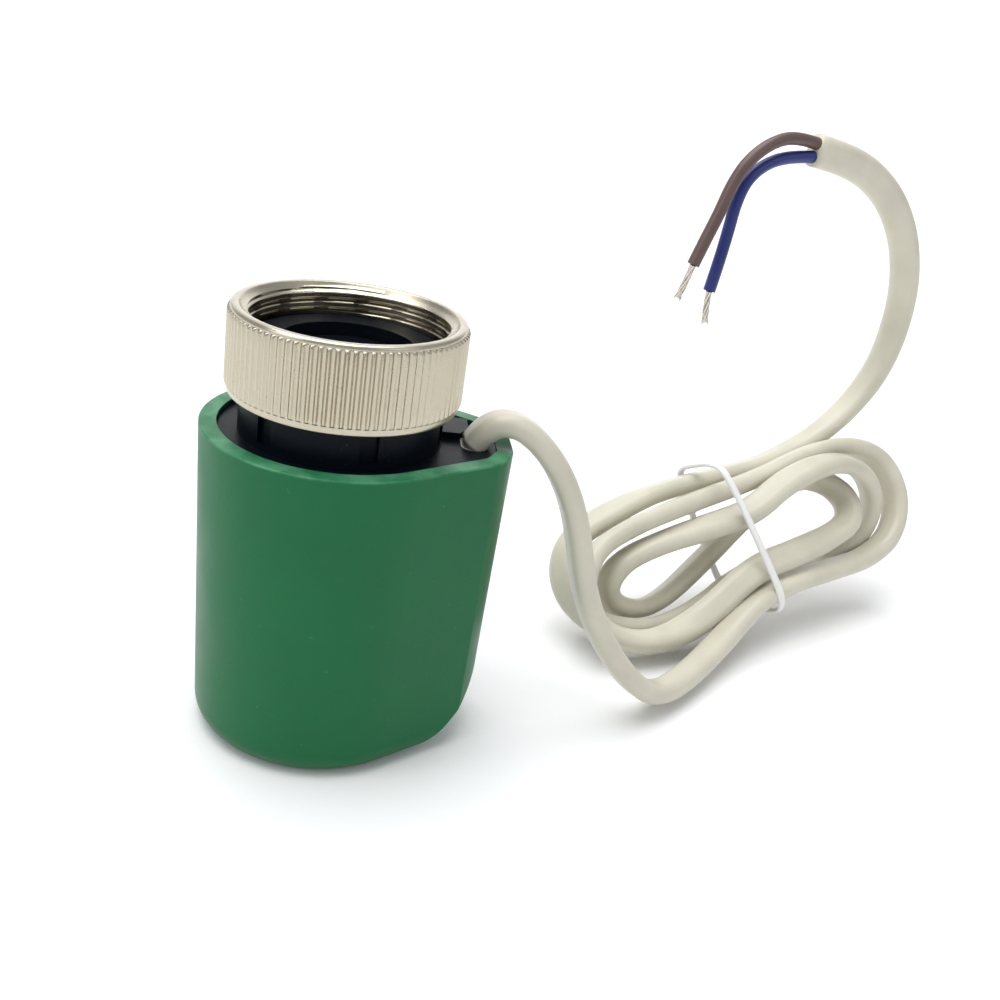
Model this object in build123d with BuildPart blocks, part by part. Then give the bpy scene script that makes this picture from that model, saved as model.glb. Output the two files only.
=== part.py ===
from build123d import *
import os
from math import cos, pi, radians, sin, tan

os.makedirs("parts", exist_ok=True)

# Thermal actuator head for a radiator or manifold valve, standing on its closed end.
# Origin on the nut's axis at the closed end's face, +Z towards the valve, +X towards the cable.

# ---- driving dimensions, mm -------------------------------------------------
clearance = 0.2

body_radius = 20.2
body_height = 49.1
wall = 2.5
ledge = 0.8
floor_thickness = 2.6
nose_angle = 56.0
nose_corner_x = 23.0
nose_reach = 25.7
nose_edge_radius = 1.6
keel_reach = 14.0
keel_height = 19.0
closed_end_radius = 4.2
body_draft = 1.3
rim_edge_radius = 0.25
saddle_depth = 1.0
saddle_width = 9.0
nose_cavity_floor = 15.0
pit_radius = 15.0

plate_top = 48.3
plate_thickness = 2.5
gasket_thickness = 0.8
collar_radius = 14.8
collar_top = 53.7
collar_slots = 6
neck_radius = 13.0
neck_top = 61.2
spigot_radius = 11.4
plunger_bore = 9.6
retainer_radius = 13.9
retainer_bottom = 57.0
retainer_top = 61.9

nut_radius = 17.0
nut_bottom = 53.95
nut_top = 66.5
nut_lip_radius = 13.3
nut_lip_top = 56.6
thread_minor_radius = 14.19
relief_radius = 14.7
relief_top = 62.2
mouth_radius = 15.5
mouth_depth = 1.0
knurl_count = 92
knurl_groove = 0.42
knurl_band_bottom = 55.0
knurl_band_top = 65.8

seat_top = 3.8
cage_bottom = 20.0
cage_plate = 2.0
cage_radius = 12.6
leg_inner = 7.2
leg_outer = 8.8
leg_width = 4.0
yoke_bottom = 54.0
yoke_top = 56.6
pad_radius = 9.0
pad_top = 60.2
spring_radius = 10.6
spring_wire = 1.7
spring_turns = 5

bridge_bottom = 28.0
bridge_top = 31.0
bridge_reach = 12.2
arm_width = 6.4
hub_radius = 6.8
guide_bottom = 24.5
guide_radius = 4.2
cartridge_radius = 6.6
guide_top = 36.0
piston_radius = 1.95
piston_length = 12.0
wax_radius = 4.6
cup_top = 43.0
heater_radius = 4.2
contact_thickness = 0.6
heater_top = 45.6
cap_top = 48.4

cable_width = 5.8
cable_thickness = 3.7
cord_diameter = 4.4
core_diameter = 2.2
strand_diameter = 1.2
exit_x = 19.6
exit_z = 48.3
sheath_end_z = 36.0
clamp_bottom = 38.0
clamp_height = 4.0
clamp_x = 17.4
clamp_span = 12.4
screw_pitch = 9.4



# ---- shared shapes ----------------------------------------------------------
def housing_outline(inset=0.0):
    """The round housing with its nose, seen along Z, drawn in by inset."""
    tangent = radians(nose_angle)
    side_x = body_radius * cos(tangent)
    side_y = body_radius * sin(tangent)
    corner_y = side_y - (nose_corner_x - side_x) / tan(tangent)
    with BuildSketch() as outline:
        with BuildLine():
            ThreePointArc((side_x, -side_y), (-body_radius, 0), (side_x, side_y))
            Line((side_x, side_y), (nose_corner_x, corner_y))
            ThreePointArc((nose_corner_x, corner_y), (nose_reach, 0), (nose_corner_x, -corner_y))
            Line((nose_corner_x, -corner_y), (side_x, -side_y))
        make_face()
        fillet(outline.vertices().group_by(Axis.X)[-1], radius=nose_edge_radius)
        if inset:
            offset(amount=-inset)
    return outline.sketch


def corner_radii(route):
    """The largest arc that each corner of a cord's route leaves room for."""
    points = [Vector(*p) for p in route]
    radii = []
    for before, here, after in zip(points, points[1:], points[2:]):
        turn = radians((here - before).get_angle(after - here))
        shorter = min((here - before).length, (after - here).length)
        radii.append(0.45 * shorter / tan(turn / 2))
    return radii


def cord_tube(route, diameter, name):
    """A round tube along straight runs joined by tangent arcs."""
    radii = corner_radii(route)
    with BuildPart() as tube:
        with BuildLine() as path:
            FilletPolyline(*route, radius=radii)
        line = path.wires()[0]
        with BuildSketch(Plane(line @ 0, z_dir=line % 0)):
            Circle(diameter / 2)
        sweep(path=line)
    swept = pi * diameter**2 / 4 * line.length
    print(name, "radii", [round(r, 1) for r in radii])
    print(name, "length", round(line.length, 1), "volume", round(tube.part.volume / swept, 4))
    return tube.part


def clear_of(tube, *others):
    """What is left of a tube outside the pieces that it runs into."""
    with BuildPart() as free:
        add(tube)
        for other in others:
            add(other, mode=Mode.SUBTRACT)
    return free.part.solids().sort_by(SortBy.VOLUME)[-1]


# ---- housing ----------------------------------------------------------------
with BuildPart() as cover:
    # The walls draw in towards the closed end.
    with BuildSketch(Plane.XY.offset(body_height)):
        add(housing_outline())
    extrude(amount=-body_height, taper=body_draft)
    fillet(cover.edges().group_by(Axis.Z)[0], radius=closed_end_radius)
    fillet(cover.edges().group_by(Axis.Z)[-1], radius=rim_edge_radius)
    # The closed end sweeps up under the nose.
    with BuildSketch(Plane.XZ):
        with BuildLine():
            keel_x = nose_reach - keel_reach
            EllipticalCenterArc((keel_x, keel_height), keel_reach, keel_height, 270, arc_size=90)
            Line((nose_reach, keel_height), (nose_reach, body_height))
            Line((nose_reach, body_height), (-body_radius - 5, body_height))
            Line((-body_radius - 5, body_height), (-body_radius - 5, 0))
            Line((-body_radius - 5, 0), (keel_x, 0))
        make_face()
    extrude(amount=40, both=True, mode=Mode.INTERSECT)
    with BuildSketch(Plane.XY.offset(floor_thickness)):
        Circle(pit_radius)
    extrude(amount=nose_cavity_floor - floor_thickness + 0.5, mode=Mode.SUBTRACT)
    with BuildSketch(Plane.XY.offset(nose_cavity_floor)):
        add(housing_outline(wall + ledge))
    extrude(amount=body_height, mode=Mode.SUBTRACT)
    with BuildSketch(Plane.XY.offset(plate_top - plate_thickness - gasket_thickness)):
        add(housing_outline(wall))
    extrude(amount=body_height, mode=Mode.SUBTRACT)
    # A shallow saddle in the nose's rim lets the cable out.
    with BuildSketch(Plane.YZ.offset(nose_reach - 6)):
        with Locations((0, body_height + saddle_width - saddle_depth)):
            Circle(saddle_width)
    extrude(amount=10, mode=Mode.SUBTRACT)
cover.part.label = "cover"
export_step(cover.part, "parts/cover.step")

with BuildPart() as gasket:
    with BuildSketch(Plane.XY.offset(plate_top - plate_thickness - gasket_thickness)):
        add(housing_outline(wall + clearance))
        add(housing_outline(wall + ledge + 0.4), mode=Mode.SUBTRACT)
    extrude(amount=gasket_thickness)
gasket.part.label = "cover_gasket"
export_step(gasket.part, "parts/cover_gasket.step")

with BuildPart() as base_plate:
    with BuildSketch(Plane.XY.offset(plate_top - plate_thickness)):
        add(housing_outline(wall + clearance))
    extrude(amount=plate_thickness)
    with BuildSketch(Plane.XY.offset(plate_top)):
        Circle(collar_radius)
        # Raised pad beside the cable's exit.
        with Locations((15.6, 4.6)):
            Rectangle(7.0, 6.6)
    extrude(amount=1.0)
    with BuildSketch(Plane.XY.offset(plate_top)):
        Circle(collar_radius)
        with PolarLocations(collar_radius, collar_slots, 46):
            Rectangle(1.6, 2.6, mode=Mode.SUBTRACT)
    extrude(amount=collar_top - plate_top)
    with BuildSketch(Plane.XY.offset(collar_top)):
        Circle(neck_radius)
    extrude(amount=retainer_bottom - collar_top)
    with BuildSketch(Plane.XY.offset(retainer_bottom)):
        Circle(spigot_radius)
    extrude(amount=neck_top - retainer_bottom)
    # Posts that the wax element's bridge is screwed to.
    with BuildSketch(Plane.XY.offset(bridge_top)):
        with PolarLocations(bridge_reach, 3, 60):
            Circle(2.7)
    extrude(amount=plate_top - plate_thickness - bridge_top)
    # Bosses that the cable clamp is screwed to.
    with BuildSketch(Plane.XY.offset(clamp_bottom + clamp_height)):
        with Locations((clamp_x - 0.8, screw_pitch / 2), (clamp_x - 0.8, -screw_pitch / 2)):
            Circle(1.7)
            Circle(0.85, mode=Mode.SUBTRACT)
    extrude(amount=plate_top - plate_thickness - clamp_bottom - clamp_height)
    with BuildSketch(Plane.XY.offset(plate_top - plate_thickness)):
        Circle(plunger_bore)
    extrude(amount=neck_top, mode=Mode.SUBTRACT)
    with BuildSketch(Plane.XY.offset(bridge_top)):
        with PolarLocations(bridge_reach, 3, 60):
            Circle(1.15)
    extrude(amount=10, mode=Mode.SUBTRACT)
    with BuildSketch(Plane.XY.offset(plate_top - plate_thickness)):
        with Locations((exit_x, 0)):
            SlotOverall(cable_width, cable_thickness, rotation=90)
    extrude(amount=10, mode=Mode.SUBTRACT)
base_plate.part.label = "base_plate"
export_step(base_plate.part, "parts/base_plate.step")

with BuildPart() as retainer:
    with BuildSketch(Plane.XY.offset(retainer_bottom)):
        Circle(retainer_radius)
        Circle(spigot_radius, mode=Mode.SUBTRACT)
    extrude(amount=retainer_top - retainer_bottom)
    with BuildSketch(Plane.XY.offset(neck_top)):
        Circle(spigot_radius)
        Circle(plunger_bore, mode=Mode.SUBTRACT)
    extrude(amount=retainer_top - neck_top)
    chamfer(retainer.edges().group_by(Axis.Z)[-1].sort_by(SortBy.RADIUS)[-1], length=0.5)
retainer.part.label = "nut_retainer"
export_step(retainer.part, "parts/nut_retainer.step")

# ---- union nut --------------------------------------------------------------
with BuildPart() as nut:
    with BuildSketch(Plane.XZ):
        with BuildLine():
            Polyline(
                (nut_lip_radius, nut_bottom),
                (nut_radius - 0.6, nut_bottom),
                (nut_radius - 0.4, nut_bottom + 0.3),
                (nut_radius - 0.4, nut_top - 0.4),
                (nut_radius - 0.8, nut_top),
                (mouth_radius, nut_top),
                (thread_minor_radius, nut_top - mouth_depth),
                (thread_minor_radius, relief_top),
                (relief_radius, relief_top),
                (relief_radius, nut_lip_top),
                (nut_lip_radius, nut_lip_top),
                close=True,
            )
        make_face()
    revolve(axis=Axis.Z)
    # Straight knurl round the band.
    with BuildSketch(Plane.XY.offset(knurl_band_bottom)):
        Circle(nut_radius)
        Circle(nut_radius - 0.8, mode=Mode.SUBTRACT)
        with PolarLocations(nut_radius + 0.15, knurl_count):
            Circle(knurl_groove, mode=Mode.SUBTRACT)
    extrude(amount=knurl_band_top - knurl_band_bottom)
nut.part.label = "union_nut"
export_step(nut.part, "parts/union_nut.step")

# ---- lifting cage, pad and closing spring ----------------------------------
with BuildPart() as seat:
    with BuildSketch(Plane.XY.offset(floor_thickness)):
        Circle(cage_radius)
        Circle(leg_inner, mode=Mode.SUBTRACT)
    extrude(amount=seat_top - floor_thickness)
seat.part.label = "spring_seat"
export_step(seat.part, "parts/spring_seat.step")

with BuildPart() as spring:
    coil_height = cage_bottom - seat_top - spring_wire
    with BuildLine() as coil:
        Helix(pitch=coil_height / spring_turns, height=coil_height, radius=spring_radius,
              center=(0, 0, seat_top + spring_wire / 2))
    with BuildSketch(Plane(coil.line @ 0, z_dir=coil.line % 0)):
        Circle(spring_wire / 2 - 0.05)
    sweep(path=coil.line, is_frenet=True)
spring.part.label = "closing_spring"
export_step(spring.part, "parts/closing_spring.step")

with BuildPart() as cage:
    with BuildSketch(Plane.XY.offset(cage_bottom)):
        Circle(cage_radius)
    extrude(amount=cage_plate)
    with BuildSketch(Plane.XY.offset(cage_bottom + cage_plate)):
        with PolarLocations((leg_inner + leg_outer) / 2, 3):
            Rectangle(leg_outer - leg_inner, leg_width)
    extrude(amount=yoke_bottom - cage_bottom - cage_plate)
    with BuildSketch(Plane.XY.offset(yoke_bottom)):
        Circle(leg_outer + 0.1)
    extrude(amount=yoke_top - yoke_bottom)
    with BuildSketch(Plane.XY.offset(yoke_top)):
        Circle(3.0)
    extrude(amount=1.6)
cage.part.label = "lifting_cage"
export_step(cage.part, "parts/lifting_cage.step")

with BuildPart() as pad:
    with BuildSketch(Plane.XY.offset(yoke_top)):
        Circle(pad_radius)
        Circle(3.0, mode=Mode.SUBTRACT)
    extrude(amount=1.6)
    with BuildSketch(Plane.XY.offset(yoke_top + 1.6)):
        Circle(pad_radius)
    extrude(amount=pad_top - yoke_top - 1.6)
    fillet(pad.edges().group_by(Axis.Z)[-1], radius=0.6)
    with BuildSketch(Plane.XY.offset(pad_top - 0.8)):
        Circle(5.2)
    extrude(amount=2, mode=Mode.SUBTRACT)
    with BuildSketch(Plane.XY.offset(yoke_top + 0.7)):
        Circle(pad_radius + 1)
        Circle(pad_radius - 1.0, mode=Mode.SUBTRACT)
    extrude(amount=1.4, mode=Mode.SUBTRACT)
pad.part.label = "pressure_pad"
export_step(pad.part, "parts/pressure_pad.step")

with BuildPart() as pad_seal:
    with BuildSketch(Plane.XZ):
        with Locations((pad_radius - 1.0 + 0.75, yoke_top + 1.4)):
            Circle(0.7)
    revolve(axis=Axis.Z)
pad_seal.part.label = "pad_seal"
export_step(pad_seal.part, "parts/pad_seal.step")

# ---- wax element ------------------------------------------------------------
with BuildPart() as bridge:
    with BuildSketch(Plane.XY.offset(bridge_bottom)):
        Circle(hub_radius)
        with PolarLocations(bridge_reach / 2, 3, 60):
            Rectangle(bridge_reach, arm_width)
        with PolarLocations(bridge_reach, 3, 60):
            Circle(arm_width / 2)
        Circle(guide_radius + 0.05, mode=Mode.SUBTRACT)
        with PolarLocations(bridge_reach, 3, 60):
            Circle(1.4, mode=Mode.SUBTRACT)
    extrude(amount=bridge_top - bridge_bottom)
bridge.part.label = "wax_bridge"
export_step(bridge.part, "parts/wax_bridge.step")

with BuildPart() as bridge_screws:
    with BuildSketch(Plane.XY.offset(bridge_bottom - 1.6)):
        with PolarLocations(bridge_reach, 3, 60):
            Circle(2.2)
    extrude(amount=1.6)
    with BuildSketch(Plane.XY.offset(bridge_bottom)):
        with PolarLocations(bridge_reach, 3, 60):
            Circle(1.1)
    extrude(amount=11)
    with BuildSketch(Plane.XY.offset(bridge_bottom - 1.6)):
        with PolarLocations(bridge_reach, 3, 60):
            Rectangle(2.6, 0.6)
            Rectangle(0.6, 2.6)
    extrude(amount=0.8, mode=Mode.SUBTRACT)
bridge_screws.part.label = "bridge_screws"
export_step(bridge_screws.part, "parts/bridge_screws.step")

with BuildPart() as guide:
    with BuildSketch(Plane.XY.offset(guide_bottom)):
        Circle(guide_radius)
    extrude(amount=bridge_top - guide_bottom)
    with BuildSketch(Plane.XY.offset(bridge_top)):
        Circle(cartridge_radius)
    extrude(amount=guide_top - bridge_top)
    with BuildSketch(Plane.XY.offset(guide_bottom)):
        Circle(piston_radius + 0.05)
    extrude(amount=guide_top - guide_bottom, mode=Mode.SUBTRACT)
guide.part.label = "wax_guide"
export_step(guide.part, "parts/wax_guide.step")

with BuildPart() as piston:
    with BuildSketch(Plane.XY.offset(cage_bottom + cage_plate + 0.05)):
        Circle(piston_radius)
    extrude(amount=piston_length)
    chamfer(piston.edges().group_by(Axis.Z)[0], length=0.4)
piston.part.label = "wax_piston"
export_step(piston.part, "parts/wax_piston.step")

with BuildPart() as membrane:
    with BuildSketch(Plane.XY.offset(guide_top)):
        Circle(wax_radius)
    extrude(amount=1.0)
membrane.part.label = "wax_membrane"
export_step(membrane.part, "parts/wax_membrane.step")

with BuildPart() as charge:
    with BuildSketch(Plane.XY.offset(guide_top + 1.0)):
        Circle(wax_radius)
    extrude(amount=cup_top - guide_top - 2.0)
charge.part.label = "wax_charge"
export_step(charge.part, "parts/wax_charge.step")

with BuildPart() as cup:
    with BuildSketch(Plane.XY.offset(guide_top)):
        Circle(cartridge_radius)
    extrude(amount=cup_top - guide_top)
    with BuildSketch(Plane.XY.offset(guide_top)):
        Circle(wax_radius)
    extrude(amount=cup_top - guide_top - 1.0, mode=Mode.SUBTRACT)
cup.part.label = "wax_cup"
export_step(cup.part, "parts/wax_cup.step")


# ---- heater and its contacts -----------------------------------------------
def contact_plate(bottom, side):
    """A round contact with a solder tab that leaves on one side of the cage's leg."""
    with BuildPart() as plate:
        with BuildSketch(Plane.XY.offset(bottom)):
            Circle(heater_radius)
            with Locations((4.4, side * 3.9)):
                Rectangle(7.0, 2.2)
        extrude(amount=contact_thickness)
    return plate.part


with BuildPart() as contact_live:
    add(contact_plate(heater_top, 1))
contact_live.part.label = "contact_live"
export_step(contact_live.part, "parts/contact_live.step")

with BuildPart() as contact_neutral:
    add(contact_plate(cup_top, -1))
contact_neutral.part.label = "contact_neutral"
export_step(contact_neutral.part, "parts/contact_neutral.step")

with BuildPart() as heater:
    with BuildSketch(Plane.XY.offset(cup_top + contact_thickness)):
        Circle(heater_radius)
    extrude(amount=heater_top - cup_top - contact_thickness)
heater.part.label = "heater_pill"
export_step(heater.part, "parts/heater_pill.step")

with BuildPart() as heater_cap:
    with BuildSketch(Plane.XY.offset(cup_top)):
        Circle(cartridge_radius)
    extrude(amount=cap_top - cup_top)
    with BuildSketch(Plane.XY.offset(cup_top)):
        Circle(heater_radius)
        with Locations((6, 3.9), (6, -3.9)):
            Rectangle(12, 2.6)
    extrude(amount=heater_top + contact_thickness - cup_top, mode=Mode.SUBTRACT)
heater_cap.part.label = "heater_cap"
export_step(heater_cap.part, "parts/heater_cap.step")

# ---- supply cable inside the housing ---------------------------------------
with BuildPart() as cable_inside:
    with BuildSketch(Plane.XY.offset(sheath_end_z)):
        with Locations((exit_x, 0)):
            SlotOverall(cable_width, cable_thickness, rotation=90)
    extrude(amount=exit_z - sheath_end_z)
cable_inside.part.label = "cable_inside"
export_step(cable_inside.part, "parts/cable_inside.step")

with BuildPart() as clamp:
    with BuildSketch(Plane.XY.offset(clamp_bottom)):
        with Locations((clamp_x, 0)):
            RectangleRounded(6.0, clamp_span, 1.0)
        with Locations((exit_x, 0)):
            SlotOverall(cable_width + 0.1, cable_thickness + 0.1, rotation=90, mode=Mode.SUBTRACT)
        with Locations((clamp_x - 0.8, screw_pitch / 2), (clamp_x - 0.8, -screw_pitch / 2)):
            Circle(1.1, mode=Mode.SUBTRACT)
    extrude(amount=clamp_height)
clamp.part.label = "cable_clamp"
export_step(clamp.part, "parts/cable_clamp.step")

with BuildPart() as clamp_screws:
    with BuildSketch(Plane.XY.offset(clamp_bottom - 1.2)):
        with Locations((clamp_x - 0.8, screw_pitch / 2), (clamp_x - 0.8, -screw_pitch / 2)):
            Circle(1.7)
            Rectangle(2.2, 0.5, mode=Mode.SUBTRACT)
            Rectangle(0.5, 2.2, mode=Mode.SUBTRACT)
    extrude(amount=1.2)
    with BuildSketch(Plane.XY.offset(clamp_bottom - 0.6)):
        with Locations((clamp_x - 0.8, screw_pitch / 2), (clamp_x - 0.8, -screw_pitch / 2)):
            Circle(0.85)
    extrude(amount=clamp_height + 4.0)
clamp_screws.part.label = "clamp_screws"
export_step(clamp_screws.part, "parts/clamp_screws.step")

# Insulated leads from the sheath's end to the heater's contacts.
lead_route = (
    (exit_x, 1.3, sheath_end_z),
    (exit_x - 0.4, 1.6, 33.0),
    (exit_x - 3.4, 2.6, 30.4),
    (exit_x - 7.6, 3.6, 31.3),
    (exit_x - 10.6, 3.9, 35.6),
    (exit_x - 12.0, 3.8, 40.2),
)
live_route = lead_route + ((exit_x - 12.2, 3.9, heater_top),)
neutral_route = tuple((x, -y, z) for x, y, z in lead_route[:-1]) + ((exit_x - 12.2, -3.9, cup_top),)
live_tube = cord_tube(live_route, core_diameter, "lead_live")
lead_live = clear_of(live_tube, cable_inside.part, contact_live.part)
lead_live.label = "lead_live"
export_step(lead_live, "parts/lead_live.step")
neutral_tube = cord_tube(neutral_route, core_diameter, "lead_neutral")
lead_neutral = clear_of(neutral_tube, cable_inside.part, contact_neutral.part)
lead_neutral.label = "lead_neutral"
export_step(lead_neutral, "parts/lead_neutral.step")


# ---- free supply cable ------------------------------------------------------
# The hank stands on its lower edge, leaning back, its far end a little higher.
hank_foot = (79.5, 35.8, 6.4)
hank_heading = 23.5
hank_rise = 5.0
hank_lean = 24.0
hank_left_u = -26.0
hank_left_v = 9.8
hank_left_radius = 14.2
hank_right_u = 38.0
hank_right_v = 14.5
hank_right_radius = 15.3
hank_thickness = 17.0
hank_edge = 3.0


def hank_axes():
    """Unit vectors of the hank's plane: along its length, across it, and out of its front."""
    heading = radians(hank_heading)
    rise = radians(hank_rise)
    lean = radians(hank_lean)
    along = Vector(cos(heading) * cos(rise), sin(heading) * cos(rise), sin(rise))
    back = Vector(-sin(heading), cos(heading), 0)
    up = Vector(-cos(heading) * sin(rise), -sin(heading) * sin(rise), cos(rise))
    across = up * cos(lean) + back * sin(lean)
    front = up * sin(lean) - back * cos(lean)
    return along, across, front


along, across, front = hank_axes()
hank_plane = Plane(origin=hank_foot, x_dir=along, z_dir=front)

drop_route = (
    (exit_x, 0.0, exit_z),
    (20.9, 0.0, 50.7),
    (23.8, 0.0, 52.4),
    (27.4, 0.0, 51.4),
    (31.8, -0.1, 47.5),
    (35.4, -0.3, 41.9),
    (37.8, -0.4, 35.6),
    (39.5, -0.2, 28.9),
    (41.9, 0.2, 22.3),
    (46.0, 0.6, 15.2),
    (51.2, 1.2, 8.6),
    (57.4, 3.8, 3.6),
    (65.0, 11.2, 3.0),
    (74.0, 21.6, 4.4),
    (84.0, 30.5, 8.4),
)
tail_route = (
    (86.2, 54.7, 28.4),
    (94.8, 59.4, 31.2),
    (102.4, 63.6, 34.8),
    (108.6, 66.4, 40.8),
    (112.2, 66.6, 49.0),
    (112.6, 65.3, 58.4),
    (110.4, 62.2, 68.4),
    (105.8, 58.8, 77.6),
    (99.4, 55.2, 84.8),
    (92.0, 51.2, 89.4),
    (84.4, 46.9, 91.8),
    (77.5, 43.3, 92.8),
)
brown_route = (
    (77.6, 43.4, 93.9),
    (72.7, 40.6, 94.8),
    (67.8, 38.0, 93.6),
    (63.6, 35.8, 90.4),
    (61.3, 34.6, 86.3),
    (59.8, 33.4, 81.4),
    (58.0, 32.2, 76.8),
    (56.6, 31.5, 72.6),
)
blue_route = (
    (77.3, 43.2, 91.6),
    (72.8, 41.2, 91.4),
    (68.0, 39.1, 90.0),
    (64.5, 37.2, 87.1),
    (63.2, 36.5, 82.9),
    (62.9, 36.2, 78.0),
    (62.3, 35.7, 72.6),
    (61.6, 35.3, 67.7),
)
brown_strand_route = ((56.6, 31.5, 72.6), (55.9, 31.2, 69.6), (54.9, 30.8, 66.8))
blue_strand_route = ((61.6, 35.3, 67.7), (61.6, 35.3, 64.9), (62.1, 35.5, 62.0))

with BuildPart() as hank:
    with BuildSketch(hank_plane.offset(-hank_thickness / 2)):
        with Locations((hank_left_u, hank_left_v)):
            Circle(hank_left_radius)
        with Locations((hank_right_u, hank_right_v)):
            Circle(hank_right_radius)
        make_hull()
    extrude(amount=hank_thickness)
    chamfer(hank.edges().filter_by(lambda edge: abs(edge.tangent_at(0).dot(front)) < 0.01), hank_edge)
    split(bisect_by=Plane.XY, keep=Keep.TOP)
hank.part.label = "cable_hank"
export_step(hank.part, "parts/cable_hank.step")


drop_tube = cord_tube(drop_route, cord_diameter, "cable_drop")
cable_drop = clear_of(drop_tube, hank.part, base_plate.part, cable_inside.part)
cable_drop.label = "cable_drop"
export_step(cable_drop, "parts/cable_drop.step")
cable_tail = clear_of(cord_tube(tail_route, cord_diameter, "cable_tail"), hank.part)
cable_tail.label = "cable_tail"
export_step(cable_tail, "parts/cable_tail.step")

core_brown = clear_of(cord_tube(brown_route, core_diameter, "core_brown"), cable_tail)
core_brown.label = "core_brown"
export_step(core_brown, "parts/core_brown.step")
core_blue = clear_of(cord_tube(blue_route, core_diameter, "core_blue"), cable_tail, core_brown)
core_blue.label = "core_blue"
export_step(core_blue, "parts/core_blue.step")
strands_brown = clear_of(cord_tube(brown_strand_route, strand_diameter, "strands_brown"), core_brown)
strands_brown.label = "strands_brown"
export_step(strands_brown, "parts/strands_brown.step")
strands_blue = clear_of(cord_tube(blue_strand_route, strand_diameter, "strands_blue"), core_blue)
strands_blue.label = "strands_blue"
export_step(strands_blue, "parts/strands_blue.step")

# A plastic-coated wire tie round the middle of the hank, set aslant.
tie_plane = Plane(origin=hank_plane.from_local_coords((8.0, 13.0, 0)), x_dir=front,
                  z_dir=along.rotate(Axis((0, 0, 0), front), 14))
with BuildPart() as tie:
    with BuildSketch(tie_plane.offset(-1.1)):
        RectangleRounded(hank_thickness + 2.6, 35.0, 3.8)
        RectangleRounded(hank_thickness + 0.4, 32.8, 2.8, mode=Mode.SUBTRACT)
    extrude(amount=2.2)
tie.part.label = "wire_tie"
export_step(tie.part, "parts/wire_tie.step")
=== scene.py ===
import math

import bpy
from mathutils import Matrix, Quaternion, Vector, noise


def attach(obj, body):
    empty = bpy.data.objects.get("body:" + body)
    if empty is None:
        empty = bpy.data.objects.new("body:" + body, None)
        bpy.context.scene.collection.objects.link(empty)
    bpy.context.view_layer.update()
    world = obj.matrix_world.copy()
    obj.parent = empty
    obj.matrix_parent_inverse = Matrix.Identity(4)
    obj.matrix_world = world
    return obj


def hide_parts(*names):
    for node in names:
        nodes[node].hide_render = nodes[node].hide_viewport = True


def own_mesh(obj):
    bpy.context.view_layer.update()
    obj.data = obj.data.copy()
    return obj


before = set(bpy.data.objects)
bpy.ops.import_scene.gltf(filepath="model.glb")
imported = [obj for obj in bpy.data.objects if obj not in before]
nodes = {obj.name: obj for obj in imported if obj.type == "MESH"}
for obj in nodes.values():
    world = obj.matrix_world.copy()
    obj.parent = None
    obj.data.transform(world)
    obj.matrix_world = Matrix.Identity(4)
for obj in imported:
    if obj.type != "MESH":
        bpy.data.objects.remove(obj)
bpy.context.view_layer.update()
MM = 0.001
TAU = 2 * math.pi
# The colour sockets of a mix node, which share their names with its other sockets.
MIX_UNDER, MIX_OVER, MIX_RESULT = 6, 7, 2


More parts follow.
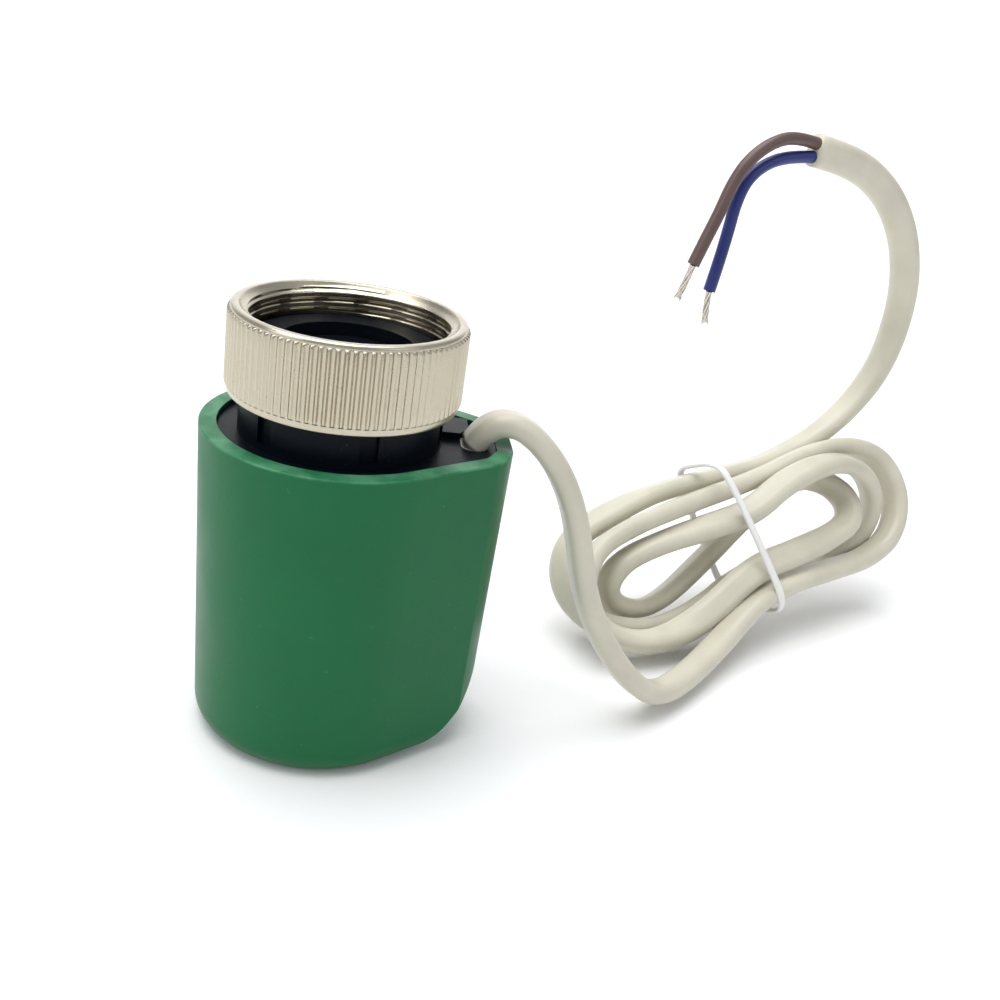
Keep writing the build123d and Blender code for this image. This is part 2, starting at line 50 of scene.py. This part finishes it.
# ---- materials --------------------------------------------------------------
def skin(name, color, rough, metal=0.0, coat=0.0, spread=0.10, blotch=70.0, grain=2500.0,
         depth=0.02, stretch=(1, 1, 1), rough_spread=0.08, speck=None, specular=0.5):
    """A procedural finish: broad colour drift, fine grain in the surface and uneven gloss.

    speck is the specks' colour, how many there are, the noise level they start at and how much
    of their colour shows.
    """
    made = bpy.data.materials.new("skin_" + name)
    made.use_nodes = True
    tree = made.node_tree
    shader = tree.nodes["Principled BSDF"]
    shader.inputs["Metallic"].default_value = metal
    shader.inputs["Specular IOR Level"].default_value = specular
    shader.inputs["Coat Weight"].default_value = coat
    shader.inputs["Coat Roughness"].default_value = 0.12
    place = tree.nodes.new("ShaderNodeTexCoord")
    mapping = tree.nodes.new("ShaderNodeMapping")
    mapping.inputs["Scale"].default_value = stretch
    tree.links.new(place.outputs["Object"], mapping.inputs["Vector"])

    drift = tree.nodes.new("ShaderNodeTexNoise")
    drift.inputs["Scale"].default_value = blotch
    drift.inputs["Detail"].default_value = 5
    tree.links.new(mapping.outputs["Vector"], drift.inputs["Vector"])
    ramp = tree.nodes.new("ShaderNodeValToRGB")
    ramp.color_ramp.elements[0].position = 0.3
    ramp.color_ramp.elements[1].position = 0.7
    ramp.color_ramp.elements[0].color = (*[c * (1 - spread) for c in color], 1)
    ramp.color_ramp.elements[1].color = (*[min(1, c * (1 + spread)) for c in color], 1)
    tree.links.new(drift.outputs["Fac"], ramp.inputs["Fac"])
    tint = ramp.outputs["Color"]
    if speck:
        speck_color, speck_scale, speck_level, speck_amount = speck
        spots = tree.nodes.new("ShaderNodeTexNoise")
        spots.inputs["Scale"].default_value = speck_scale
        spots.inputs["Detail"].default_value = 3
        tree.links.new(place.outputs["Object"], spots.inputs["Vector"])
        cut = tree.nodes.new("ShaderNodeMapRange")
        cut.inputs["From Min"].default_value = speck_level
        cut.inputs["From Max"].default_value = speck_level + 0.08
        cut.inputs["To Max"].default_value = speck_amount
        tree.links.new(spots.outputs["Fac"], cut.inputs["Value"])
        mix = tree.nodes.new("ShaderNodeMix")
        mix.data_type = "RGBA"
        tree.links.new(cut.outputs["Result"], mix.inputs["Factor"])
        tree.links.new(tint, mix.inputs[MIX_UNDER])
        mix.inputs[MIX_OVER].default_value = (*speck_color, 1)
        tint = mix.outputs[MIX_RESULT]
    tree.links.new(tint, shader.inputs["Base Color"])

    fine = tree.nodes.new("ShaderNodeTexNoise")
    fine.inputs["Scale"].default_value = grain
    fine.inputs["Detail"].default_value = 3
    tree.links.new(mapping.outputs["Vector"], fine.inputs["Vector"])
    gloss = tree.nodes.new("ShaderNodeMapRange")
    gloss.inputs["From Min"].default_value = 0.3
    gloss.inputs["From Max"].default_value = 0.7
    gloss.inputs["To Min"].default_value = max(0.03, rough - rough_spread)
    gloss.inputs["To Max"].default_value = min(1.0, rough + rough_spread)
    tree.links.new(drift.outputs["Fac"], gloss.inputs["Value"])
    tree.links.new(gloss.outputs["Result"], shader.inputs["Roughness"])
    bump = tree.nodes.new("ShaderNodeBump")
    bump.inputs["Strength"].default_value = 0.6
    bump.inputs["Distance"].default_value = depth * MM
    tree.links.new(fine.outputs["Fac"], bump.inputs["Height"])
    tree.links.new(bump.outputs["Normal"], shader.inputs["Normal"])
    return made


skins = {
    "green_plastic": skin("green_plastic", (0.004, 0.115, 0.037), 0.4, spread=0.06, grain=2200,
                          depth=0.03, specular=0.22, speck=((0.06, 0.26, 0.12), 900, 0.71, 0.5)),
    "black_plastic": skin("black_plastic", (0.003, 0.005, 0.009), 0.34, grain=3000, depth=0.015,
                          specular=0.1, speck=((0.05, 0.05, 0.055), 1400, 0.69, 0.5)),
    "black_gloss": skin("black_gloss", (0.004, 0.005, 0.008), 0.14, grain=1500, depth=0.01,
                        specular=0.25, speck=((0.04, 0.04, 0.045), 1200, 0.7, 0.5)),
    "natural_plastic": skin("natural_plastic", (0.62, 0.57, 0.45), 0.42, spread=0.05, blotch=90),
    "rubber_black": skin("rubber_black", (0.014, 0.014, 0.014), 0.62, grain=3500, depth=0.04),
    "spring_steel": skin("spring_steel", (0.42, 0.42, 0.43), 0.3, metal=1.0, stretch=(1, 1, 6),
                         grain=1800, depth=0.01),
    "pressed_steel": skin("pressed_steel", (0.58, 0.58, 0.57), 0.36, metal=1.0, blotch=220,
                          grain=1600, depth=0.015),
    "screw_steel": skin("screw_steel", (0.66, 0.66, 0.63), 0.24, metal=1.0, blotch=300,
                        grain=2600, depth=0.01),
    "polished_steel": skin("polished_steel", (0.72, 0.72, 0.73), 0.12, metal=1.0,
                           stretch=(1, 1, 0.1), grain=3000, depth=0.006, rough_spread=0.04),
    "brass": skin("brass", (0.68, 0.47, 0.18), 0.25, metal=1.0, stretch=(0.2, 0.2, 3),
                  grain=2200, depth=0.012),
    "wax": skin("wax", (0.7, 0.58, 0.33), 0.5, spread=0.12, blotch=260, grain=900, depth=0.05),
    "ceramic": skin("ceramic", (0.2, 0.19, 0.18), 0.7, grain=2800, depth=0.05,
                    speck=((0.4, 0.38, 0.35), 2600, 0.62, 0.6)),
    "contact_metal": skin("contact_metal", (0.75, 0.7, 0.6), 0.2, metal=1.0, blotch=200,
                          grain=2400, depth=0.008),
    "nickel": skin("nickel", (0.5, 0.46, 0.36), 0.27, metal=1.0, spread=0.07, blotch=120,
                   grain=2600, depth=0.012, rough_spread=0.07,
                   speck=((0.32, 0.25, 0.17), 700, 0.7, 0.4)),
    "cable_white": skin("cable_white", (0.57, 0.545, 0.44), 0.36, spread=0.07, blotch=110,
                        grain=1500, depth=0.03, speck=((0.3, 0.25, 0.14), 420, 0.735, 0.35)),
    "core_brown": skin("core_brown", (0.1, 0.06, 0.052), 0.4, blotch=150, grain=2000, depth=0.02),
    "core_blue": skin("core_blue", (0.012, 0.024, 0.16), 0.36, blotch=150, grain=2000, depth=0.02),
    "tinned_copper": skin("tinned_copper", (0.72, 0.68, 0.6), 0.22, metal=1.0, blotch=400,
                          grain=3000, depth=0.02, speck=((0.6, 0.36, 0.2), 900, 0.64, 0.5)),
    "tie_white": skin("tie_white", (0.78, 0.78, 0.76), 0.38, spread=0.04, grain=1800, depth=0.02),
}


def wear_and_edge_highlight(material, top, depth, color, amount):
    """Paler plastic over this depth below the top, in broken patches: partly real scuffing, partly
    a painted highlight standing in for the light on the rim's rounded edge.
    """
    tree = material.node_tree
    shader = tree.nodes["Principled BSDF"]
    under = shader.inputs["Base Color"].links[0].from_socket
    place = tree.nodes.new("ShaderNodeTexCoord")
    axes = tree.nodes.new("ShaderNodeSeparateXYZ")
    tree.links.new(place.outputs["Object"], axes.inputs["Vector"])
    near = tree.nodes.new("ShaderNodeMapRange")
    near.inputs["From Min"].default_value = (top - depth) * MM
    near.inputs["From Max"].default_value = top * MM
    tree.links.new(axes.outputs["Z"], near.inputs["Value"])
    patches = tree.nodes.new("ShaderNodeTexNoise")
    patches.inputs["Scale"].default_value = 260
    patches.inputs["Detail"].default_value = 6
    tree.links.new(place.outputs["Object"], patches.inputs["Vector"])
    broken = tree.nodes.new("ShaderNodeMapRange")
    broken.inputs["From Min"].default_value = 0.38
    broken.inputs["From Max"].default_value = 0.62
    broken.inputs["To Min"].default_value = 0.25 * amount
    broken.inputs["To Max"].default_value = amount
    tree.links.new(patches.outputs["Fac"], broken.inputs["Value"])
    both = tree.nodes.new("ShaderNodeMath")
    both.operation = "MULTIPLY"
    tree.links.new(near.outputs["Result"], both.inputs[0])
    tree.links.new(broken.outputs["Result"], both.inputs[1])
    mix = tree.nodes.new("ShaderNodeMix")
    mix.data_type = "RGBA"
    tree.links.new(both.outputs["Value"], mix.inputs["Factor"])
    tree.links.new(under, mix.inputs[MIX_UNDER])
    mix.inputs[MIX_OVER].default_value = (*color, 1)
    tree.links.new(mix.outputs[MIX_RESULT], shader.inputs["Base Color"])


cover_top = 49.0
# The cover's rim gets a paler band: real wear, and a painted highlight where its rounded edge would
# catch the light.
wear_and_edge_highlight(skins["green_plastic"], cover_top, 0.3, (0.09, 0.3, 0.16), 0.75)

# Each CAD node comes with a material that is named after its slot.
for node in nodes.values():
    own = node.data.materials[0].name.split(".")[0]
    node.data.materials.clear()
    node.data.materials.append(skins[own])


# ---- shared mesh tools ------------------------------------------------------
def piece(name, vertices, faces, slot, body="housing", replaced=()):
    """A new mesh piece that rides on a CAD body and stands for the CAD nodes named."""
    mesh = bpy.data.meshes.new(name)
    mesh.from_pydata([tuple(v) for v in vertices], [], faces)
    mesh.validate()
    mesh.materials.append(skins[slot])
    made = bpy.data.objects.new(name, mesh)
    bpy.context.scene.collection.objects.link(made)
    mesh.shade_smooth()
    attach(made, body)
    if replaced:
        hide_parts(*replaced)
    return made


def tube(rings):
    """Vertices and faces of a skin over rings of points, with both ends closed."""
    vertices = [p for ring in rings for p in ring]
    n = len(rings[0])
    faces = []
    for i in range(len(rings) - 1):
        for k in range(n):
            a = i * n + k
            b = i * n + (k + 1) % n
            faces.append((a, b, b + n, a + n))
    faces.append(tuple(reversed(range(n))))
    faces.append(tuple(range((len(rings) - 1) * n, len(rings) * n)))
    return vertices, faces


def spline_object(name, points):
    """An open, smooth NURBS curve that the points, in mm, draw towards them."""
    curve = bpy.data.curves.new(name, "CURVE")
    curve.dimensions = "3D"
    curve.resolution_u = 12
    line = curve.splines.new("NURBS")
    line.points.add(len(points) - 1)
    for control, point in zip(line.points, points):
        control.co = (point[0] * MM, point[1] * MM, point[2] * MM, 1.0)
    line.order_u = 3
    line.use_endpoint_u = True
    made = bpy.data.objects.new(name, curve)
    bpy.context.scene.collection.objects.link(made)
    return made


def line_points(guide):
    """The points along a curve object that has no thickness yet."""
    bpy.context.view_layer.update()
    graph = bpy.context.evaluated_depsgraph_get()
    mesh = bpy.data.meshes.new_from_object(guide.evaluated_get(graph))
    points = [v.co.copy() for v in mesh.vertices]
    bpy.data.meshes.remove(mesh)
    return points


def run_length(points):
    """How long the line through these points is."""
    return sum((b - a).length for a, b in zip(points, points[1:]))


def tangents(points):
    """The direction of the line at each of its points."""
    last = len(points) - 1
    return [(points[min(i + 1, last)] - points[max(i - 1, 0)]).normalized()
            for i in range(last + 1)]


# ---- supply cable -----------------------------------------------------------
# The hank's own axes: along its strands, across them and out of its face. It rises a little
# along its strands and leans back from the camera.
hank_foot = Vector((79.5, 35.8, 6.4))
hank_heading = math.radians(23.5)
hank_rise = math.radians(5)
hank_lean = math.radians(24)
heading_x, heading_y = math.cos(hank_heading), math.sin(hank_heading)
hank_along = Vector((heading_x * math.cos(hank_rise), heading_y * math.cos(hank_rise),
                     math.sin(hank_rise)))
hank_back = Vector((-heading_y, heading_x, 0))
hank_up = Vector((-heading_x * math.sin(hank_rise), -heading_y * math.sin(hank_rise),
                  math.cos(hank_rise)))
hank_across = hank_up * math.cos(hank_lean) + hank_back * math.sin(hank_lean)
hank_front = hank_up * math.sin(hank_lean) - hank_back * math.cos(hank_lean)


def in_hank(u, v, w):
    """The place, in mm, of a point given along, across and out of the hank."""
    return hank_foot + hank_along * u + hank_across * v + hank_front * w


# From the saddle in the cover's rim down to the floor and up into the hank.
drop_route = (
    (19.6, 0, 48.3),
    (20.9, 0, 50.7),
    (23.8, 0, 52.4),
    (27.4, 0, 51.4),
    (31.8, -0.1, 47.5),
    (35.4, -0.3, 41.9),
    (37.8, -0.4, 35.6),
    (39.5, -0.2, 28.9),
    (41.9, 0.2, 22.3),
    (46.0, 0.6, 15.2),
    (51.2, 1.2, 8.6),
    (57.4, 3.8, 3.6),
    (65.0, 11.2, 3.0),
    (74.0, 21.6, 4.4),
    (83.6, 31.2, 10.0),
)
# From the hank up and over to the cut sheath.
tail_route = (
    (86.7, 55.8, 27.9),
    (95.2, 60.3, 30.8),
    (102.4, 63.6, 34.8),
    (108.6, 66.4, 40.8),
    (112.2, 66.6, 49.0),
    (112.6, 65.3, 58.4),
    (110.4, 62.2, 68.4),
    (105.8, 58.8, 77.6),
    (99.4, 55.2, 84.8),
    (92.0, 51.2, 89.4),
    (84.4, 46.9, 91.8),
    (77.5, 43.3, 92.8),
)
# The hank, strand by strand: the points on the way, the first and last point of the end that
# follows, how far that end reaches past them, and the cable's twist on the strand and the end.
hank_turns = (
    (((14, 2.0, 5.3), (25, 2.0, 4.0)), (35.5, 2.0, 2.5), (35.9, 26.4, -0.4), 12.6, 14, 12),
    (((25.4, 26.2, -0.1), (11.6, 22.8, -0.8), (-6, 20.8, -0.4)), (-22, 18.4, 0.5),
     (-22.6, -3.2, 5.8), -13.0, 6, 20),
    (((-10, -0.8, 5.4), (3, 6.2, 5.2), (15, 7.4, 5.2)), (25, 9.0, 4.6), (25, 21.0, -4.0),
     9.2, 62, 30),
    (((13, 16.4, -5.0), (-1, 8.2, -5.0)), (-15, 0.9, -5.0), (-16, 14.6, 1.5), -12.2, 2, 10),
    (((-4, 15.8, 2.4), (5.4, 17.2, 4.2), (13.8, 22.2, 5.4)), (26.6, 24.4, 5.2), (32, 2.8, -3.5),
     12.2, 40, 20),
    (((18.6, 4.9, -4.1), (3.6, 2.9, -2.2), (-7.2, -1.0, -0.6)), (-19.2, -2.3, -0.4),
     (-21.2, 21.0, -6.4), -15.6, 70, 30),
)
last_strand = ((-12, 23.2, -5.8), (-2, 24.0, -5.8), (7.6, 24.3, -6.6))
# The cable's twist, in degrees, and the number of points on each of the hank's round ends.
drop_twist_end = 10
last_strand_twist = 2
tail_twist_start, tail_twist_end = 5, 66
end_points = 5

cable_line = []
for i, p in enumerate(drop_route):
    cable_line.append((Vector(p), drop_twist_end * i / (len(drop_route) - 1)))
for strand, first, last, reach, strand_twist, end_twist in hank_turns:
    cable_line += [(in_hank(*p), strand_twist) for p in strand]
    for k in range(end_points):
        angle = math.pi * (k / (end_points - 1) - 0.5)
        u, v, w = Vector(first).lerp(Vector(last), (1 + math.sin(angle)) / 2)
        cable_line.append((in_hank(u + reach * math.cos(angle), v, w), end_twist))
cable_line += [(in_hank(*p), last_strand_twist) for p in last_strand]
for i, p in enumerate(tail_route):
    share = i / (len(tail_route) - 1)
    cable_line.append((Vector(p), tail_twist_start * (1 - share) + tail_twist_end * share))

cable_guide = spline_object("cable_guide", [p for p, twist in cable_line])
cable_points = line_points(cable_guide)
bpy.data.objects.remove(cable_guide)

half_width = 2.9 * MM
half_thickness = 1.85 * MM
flat_half = half_width - half_thickness
waist = 0.965


def cable_section(side, out):
    """A stadium with a faint waist between the two cores."""
    ring = []
    for sign in (1, -1):
        for k in range(9):
            a = math.pi * (k / 8 - 0.5)
            ring.append(side * sign * (flat_half + half_thickness * math.cos(a))
                        + out * sign * half_thickness * math.sin(a))
        ring.append(out * sign * half_thickness * waist)
    return ring


def cable_frames(points, controls, first, rest):
    """For each point of the line, the direction of the cable's width and of its thickness.

    Before its twist the width points to first at the start, and turns to rest over the drop.
    """
    turn_controls = 12
    directions = tangents(points)
    spans = len(controls) - 2
    frames = []
    for i, along in enumerate(directions):
        at = i / (len(points) - 1) * spans + 0.5
        low = min(int(at), len(controls) - 2)
        share = at - low
        turn = controls[low][1] * (1 - share) + controls[low + 1][1] * share
        hint = first.lerp(rest, min(1, at / turn_controls))
        width = (hint - along * hint.dot(along)).normalized()
        width.rotate(Quaternion(along, math.radians(turn)))
        frames.append((width, along.cross(width)))
    return frames


frames = cable_frames(cable_points, cable_line, Vector((0, -1, 0)), hank_front)
rings = []
for i, (point, (width, out)) in enumerate(zip(cable_points, frames)):
    swell = 1 + 0.02 * noise.noise(point * 90)
    rings.append([point + q * swell for q in cable_section(width, out)])
cable = piece("supply_cable", *tube(rings), "cable_white",
              replaced=("cable_drop", "cable_hank", "cable_tail"))

# ---- cores and bare strands -------------------------------------------------
brown_route = (
    (77.6, 43.4, 93.9),
    (72.7, 40.6, 94.8),
    (67.8, 38.0, 93.6),
    (63.6, 35.8, 90.4),
    (61.3, 34.6, 86.3),
    (59.8, 33.4, 81.4),
    (58.0, 32.2, 76.8),
    (56.6, 31.5, 72.6),
)
blue_route = (
    (77.3, 43.2, 91.6),
    (72.8, 41.2, 91.4),
    (68.0, 39.1, 90.0),
    (64.5, 37.2, 87.1),
    (63.2, 36.5, 82.9),
    (62.9, 36.2, 78.0),
    (62.3, 35.7, 72.6),
    (61.6, 35.3, 67.7),
)
core_diameter = 2.2
brown_strand_route = ((56.6, 31.5, 72.6), (55.9, 31.2, 69.6), (54.9, 30.8, 66.8))
blue_strand_route = ((61.6, 35.3, 67.7), (61.6, 35.3, 64.9), (62.1, 35.5, 62.0))


def bare_strands(name, route, slot, replaced):
    """Six fine wires twisted round a seventh, opening a little at the tip."""
    wires = 7
    twist = 3.2
    guide = spline_object(name + "_guide", route)
    points = line_points(guide)
    bpy.data.objects.remove(guide)
    directions = tangents(points)
    vertices = []
    faces = []
    for wire in range(wires):
        rings = []
        for i, (point, along) in enumerate(zip(points, directions)):
            share = i / (len(points) - 1)
            a = wire / (wires - 1) * TAU + share * twist
            side = along.orthogonal().normalized()
            lean = along.cross(side)
            off = (0.0 if wire == wires - 1 else 0.38 + 0.12 * share * share) * MM
            centre = point + side * off * math.cos(a) + lean * off * math.sin(a)
            centre += along * share * 0.4 * MM * math.sin(wire * 2.1)
            thin = 0.2 * MM * (1 - 0.25 * share)
            rings.append([centre + side * thin * math.cos(k / 8 * TAU)
                          + lean * thin * math.sin(k / 8 * TAU) for k in range(8)])
        more, skin_faces = tube(rings)
        faces += [tuple(i + len(vertices) for i in face) for face in skin_faces]
        vertices += more
    return piece(name, vertices, faces, slot, replaced=replaced)


wires_brown = bare_strands("bare_brown", brown_strand_route, "tinned_copper", ("strands_brown",))
wires_blue = bare_strands("bare_blue", blue_strand_route, "tinned_copper", ("strands_blue",))


def core(name, route, slot, replaced):
    """One insulated core as a round curve, and its length."""
    made = spline_object(name, route)
    length = run_length(line_points(made))
    made.data.bevel_depth = core_diameter / 2 * MM
    made.data.bevel_resolution = 5
    made.data.use_fill_caps = True
    made.data.materials.append(skins[slot])
    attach(made, "housing")
    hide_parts(replaced)
    return made, length


brown, brown_length = core("brown_core", brown_route, "core_brown", "core_brown")
blue, blue_length = core("blue_core", blue_route, "core_blue", "core_blue")

# ---- wire tie ---------------------------------------------------------------
tie_foot = Vector((6.6, -3.2, 0))
tie_head = Vector((-1.4, 27.8, 0))
tie_front_low, tie_front_high = 10.8, 5.4
tie_behind_low, tie_behind_high = 8.5, 11.2
tie_squareness = 0.42
tie_points_round = 20


def blunt(value):
    """Fills a circle's coordinate out towards a square."""
    return math.copysign(abs(value) ** tie_squareness, value)


# One slanted turn round the whole bundle, closer to it at the top than at the bottom.
tie_loop = []
for k in range(tie_points_round):
    angle = k / tie_points_round * TAU
    share = (1 + blunt(math.cos(angle))) / 2
    out = blunt(math.sin(angle))
    front = tie_front_low * (1 - share) + tie_front_high * share
    behind = tie_behind_low * (1 - share) + tie_behind_high * share
    spot = tie_foot.lerp(tie_head, share)
    tie_loop.append((spot.x, spot.y, out * (front if out > 0 else behind)))
tie_half_width = 0.74 * MM
tie_half_thickness = 0.38 * MM
strip_sides = 16


def strip_section(side, out):
    """A flat plastic strip with the wire's ridge along its middle."""
    ring = []
    for k in range(strip_sides):
        a = k / strip_sides * TAU
        x = tie_half_width * math.copysign(abs(math.cos(a)) ** 0.6, math.cos(a))
        ridge = 0.16 * MM * math.exp(-(x / (0.3 * MM)) ** 2)
        y = (tie_half_thickness + ridge) * math.copysign(abs(math.sin(a)) ** 0.6, math.sin(a))
        ring.append(side * x + out * y)
    return ring


tie_guide = spline_object("tie_guide", [in_hank(*p) for p in tie_loop])
tie_guide.data.splines[0].use_cyclic_u = True
tie_points = line_points(tie_guide)
bpy.data.objects.remove(tie_guide)
vertices = []
faces = []
count = len(tie_points)
for i, point in enumerate(tie_points):
    along = (tie_points[(i + 1) % count] - tie_points[i - 1]).normalized()
    side = (hank_along - along * hank_along.dot(along)).normalized()
    side.rotate(Quaternion(along, 0.15 * math.sin(i * 0.11)))
    vertices += [point + q for q in strip_section(side, along.cross(side))]
    for k in range(strip_sides):
        m = (k + 1) % strip_sides
        here = i * strip_sides
        ahead = (i + 1) % count * strip_sides
        faces.append((here + k, here + m, ahead + m, ahead + k))
# Behind the hank the two ends are twisted round each other, and spread at their tips.
twist_start = in_hank(1.6, 18.0, -10.0) * MM
twist_along = (hank_along + hank_across * 0.25).normalized()
twist_length = 8 * MM
twist_turns = 2.5
twist_rings = 60
for turn in (0.0, math.pi):
    rings = []
    for i in range(twist_rings):
        share = i / (twist_rings - 1)
        a = turn + share * twist_turns * TAU
        side = twist_along.orthogonal().normalized()
        lean = twist_along.cross(side)
        off = (0.45 + 1.6 * max(0, share - 0.8)) * MM
        arm = side * math.cos(a) + lean * math.sin(a)
        centre = twist_start + twist_along * share * twist_length + arm * off
        rings.append([centre + q for q in strip_section(twist_along.cross(arm), arm)])
    more, strip_faces = tube(rings)
    faces += [tuple(i + len(vertices) for i in face) for face in strip_faces]
    vertices += more
tie = piece("twist_tie", vertices, faces, "tie_white", replaced=("wire_tie",))

# ---- union nut --------------------------------------------------------------
knurls = 92
steps = knurls * 10
pitch = 1.5
nut_foot, knurl_foot, knurl_head, nut_head = 53.95, 55.0, 65.8, 66.5
nut_radius, knurl_rise, groove_depth, knurl_rounding = 16.6, 0.4, 0.38, 0.5
groove_width = 0.66
lip_radius, relief_radius, thread_radius_inner, thread_depth = 13.3, 14.7, 14.19, 0.6
lip_top, relief_top, thread_top, thread_rows = 56.6, 62.1, 65.6, 35


def groove(angle):
    """How deep the knurl's groove is at this angle, from 0 on a rib to 1 in its middle."""
    share = (angle * knurls / TAU) % 1
    across = abs(share - 0.5) * 2
    return math.sqrt(max(0, 1 - (across / groove_width) ** 2)) if across < groove_width else 0.0


def thread_radius(angle, z):
    """The bore of a V thread with flat crests, at this angle and height."""
    share = (z / pitch + angle / TAU) % 1
    rise = abs(share - 0.5) * 2
    return thread_radius_inner + thread_depth * min(1, max(0, (rise - 0.42) / 0.5))


def outer_radius(angle, z):
    """The knurled band, whose ribs are rounded at both ends."""
    ends = min(z - knurl_foot, knurl_head - z)
    if ends <= 0:
        return nut_radius
    rounded = math.sqrt(1 - (1 - min(1, ends / knurl_rounding)) ** 2)
    return nut_radius + knurl_rise * rounded - groove_depth * rounded * groove(angle)


# The nut's section, as kinds of surface with their radius and height: up its outside, over its
# mouth and down through the thread, the relief and the lip that it hangs on.
profile = [("out", lip_radius, nut_foot), ("out", 16.35, nut_foot), ("out", 16.5, 54.02)]
profile += [("out", nut_radius, z) for z in (54.2, 54.6, 54.97)]
profile += [("knurl", 0, z) for z in (knurl_foot, 55.04, 55.12, 55.25, 55.5, 57.0, 59.0, 61.0, 63.0,
                                      65.3, 65.55, 65.68, 65.76, knurl_head)]
profile += [("out", nut_radius, 65.84), ("out", nut_radius, 66.15), ("out", 16.45, 66.38),
            ("out", 16.2, nut_head), ("out", 15.5, nut_head), ("out", 15.36, 66.42),
            ("out", 15.3, 66.15), ("out", 14.75, 65.8)]
profile += [("thread", 0, thread_top - 0.1 * k) for k in range(thread_rows)]
profile += [("out", relief_radius, relief_top), ("out", relief_radius, lip_top),
            ("out", lip_radius, lip_top)]
vertices = []
for i in range(steps):
    angle = i / steps * TAU
    for kind, radius, z in profile:
        if kind == "knurl":
            radius = outer_radius(angle, z)
        elif kind == "thread":
            radius = thread_radius(angle, z)
        vertices.append((radius * MM * math.cos(angle), radius * MM * math.sin(angle), z * MM))
rows = len(profile)
faces = []
for i in range(steps):
    j = (i + 1) % steps
    for k in range(rows):
        m = (k + 1) % rows
        faces.append((i * rows + k, j * rows + k, j * rows + m, i * rows + m))
nut = piece("knurled_nut", vertices, faces, "nickel", body="nut", replaced=("union_nut",))
nut.data.set_sharp_from_angle(angle=math.radians(50))

# ---- closing spring ---------------------------------------------------------
spring_foot, spring_head = 3.8, 20.0
spring_radius, spring_wire, spring_turns = 10.6, 0.8, 5
spring_inset = 0.85
rise_per_turn = (spring_head - spring_foot - 2 * spring_inset) / spring_turns
steps_per_turn, wire_sides = 48, 12
rings = []
for i in range(spring_turns * steps_per_turn + 1):
    a = i / steps_per_turn * TAU
    radial = Vector((math.cos(a), math.sin(a), 0))
    along = Vector((-math.sin(a) * spring_radius, math.cos(a) * spring_radius,
                    rise_per_turn / TAU)).normalized()
    lean = along.cross(radial)
    height = spring_foot + spring_inset + rise_per_turn * i / steps_per_turn
    centre = radial * spring_radius + Vector((0, 0, height))
    rings.append([(centre + radial * spring_wire * math.cos(k / wire_sides * TAU)
                   + lean * spring_wire * math.sin(k / wire_sides * TAU)) * MM
                  for k in range(wire_sides)])
coil = piece("coil_spring", *tube(rings), "spring_steel", replaced=("closing_spring",))
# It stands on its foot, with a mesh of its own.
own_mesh(coil)

# ---- floor and backdrop -----------------------------------------------------
# A sheet of white paper, in metres: the floor, then one bend up to a wall far behind the object.
paper_front, paper_top, paper_half_width = -1.6, 2.4, 2.6
bend_start, bend_radius, bend_steps = 0.9, 0.6, 12
bend = []
for k in range(bend_steps + 1):
    a = k / bend_steps * math.pi / 2
    bend.append((bend_start + bend_radius * math.sin(a), bend_radius * (1 - math.cos(a))))
backdrop_line = [(paper_front, 0.0)] + bend + [(bend_start + bend_radius, paper_top)]
vertices = [(x, y, z) for y, z in backdrop_line for x in (-paper_half_width, paper_half_width)]
faces = [(2 * i, 2 * i + 1, 2 * i + 3, 2 * i + 2) for i in range(len(backdrop_line) - 1)]
mesh = bpy.data.meshes.new("backdrop")
mesh.from_pydata(vertices, [], faces)
mesh.shade_smooth()
backdrop = bpy.data.objects.new("backdrop", mesh)
bpy.context.scene.collection.objects.link(backdrop)
backdrop_skin = skin("paper", (0.9, 0.9, 0.9), 0.75, spread=0.01, blotch=6, grain=400, depth=0.01,
                     specular=0.15)
mesh.materials.append(backdrop_skin)


# ---- light ------------------------------------------------------------------
def softbox(name, place, target, size, power):
    """A white rectangular light that faces its target."""
    data = bpy.data.lights.new(name, "AREA")
    data.shape = "RECTANGLE"
    data.size = size[0]
    data.size_y = size[1]
    data.energy = power
    made = bpy.data.objects.new(name, data)
    bpy.context.scene.collection.objects.link(made)
    made.location = place
    made.rotation_mode = "QUATERNION"
    made.rotation_quaternion = (Vector(target) - Vector(place)).to_track_quat("-Z", "Y")


softbox("top_light", (-0.15, 0.10, 1.0), (0.04, 0.02, 0.03), (1.1, 0.9), 11.5)
softbox("left_light", (-0.9, -0.45, 0.6), (0.02, 0, 0.04), (0.6, 0.8), 3)
softbox("right_light", (0.9, -0.7, 0.7), (0.05, 0, 0.04), (0.6, 0.8), 1.5)
softbox("backdrop_light", (0.1, 0.75, 0.8), (0.1, 1.5, 0.35), (1.6, 0.4), 8)

world = bpy.data.worlds.new("room")
world.use_nodes = True
sky = world.node_tree.nodes["Background"]
sky.inputs["Color"].default_value = (0.93, 0.95, 1.0, 1)
sky.inputs["Strength"].default_value = 0.5
bpy.context.scene.world = world
bpy.context.scene.view_settings.view_transform = "Standard"

# ---- camera -----------------------------------------------------------------
# It stands close in front of the object and looks down at it, turned a little about its gaze.
eye = Vector((0, -0.156137, 0.109010))
aim = Vector((0.025579, 0.001818, 0.038836))
roll = 0.15724
gaze = (aim - eye).normalized()
level = gaze.cross(Vector((0, 0, 1))).normalized()
rise = level.cross(gaze)
right = level * math.cos(roll) + rise * math.sin(roll)
upward = rise * math.cos(roll) - level * math.sin(roll)
lens = bpy.data.cameras.new("camera")
lens.lens = 40.68
lens.sensor_width = 36.0
lens.shift_x = -0.002
lens.clip_start = 0.01
lens.clip_end = 20
camera = bpy.data.objects.new("camera", lens)
bpy.context.scene.collection.objects.link(camera)
camera.matrix_world = Matrix((
    (right.x, upward.x, -gaze.x, eye.x),
    (right.y, upward.y, -gaze.y, eye.y),
    (right.z, upward.z, -gaze.z, eye.z),
    (0, 0, 0, 1),
))
bpy.context.scene.camera = camera
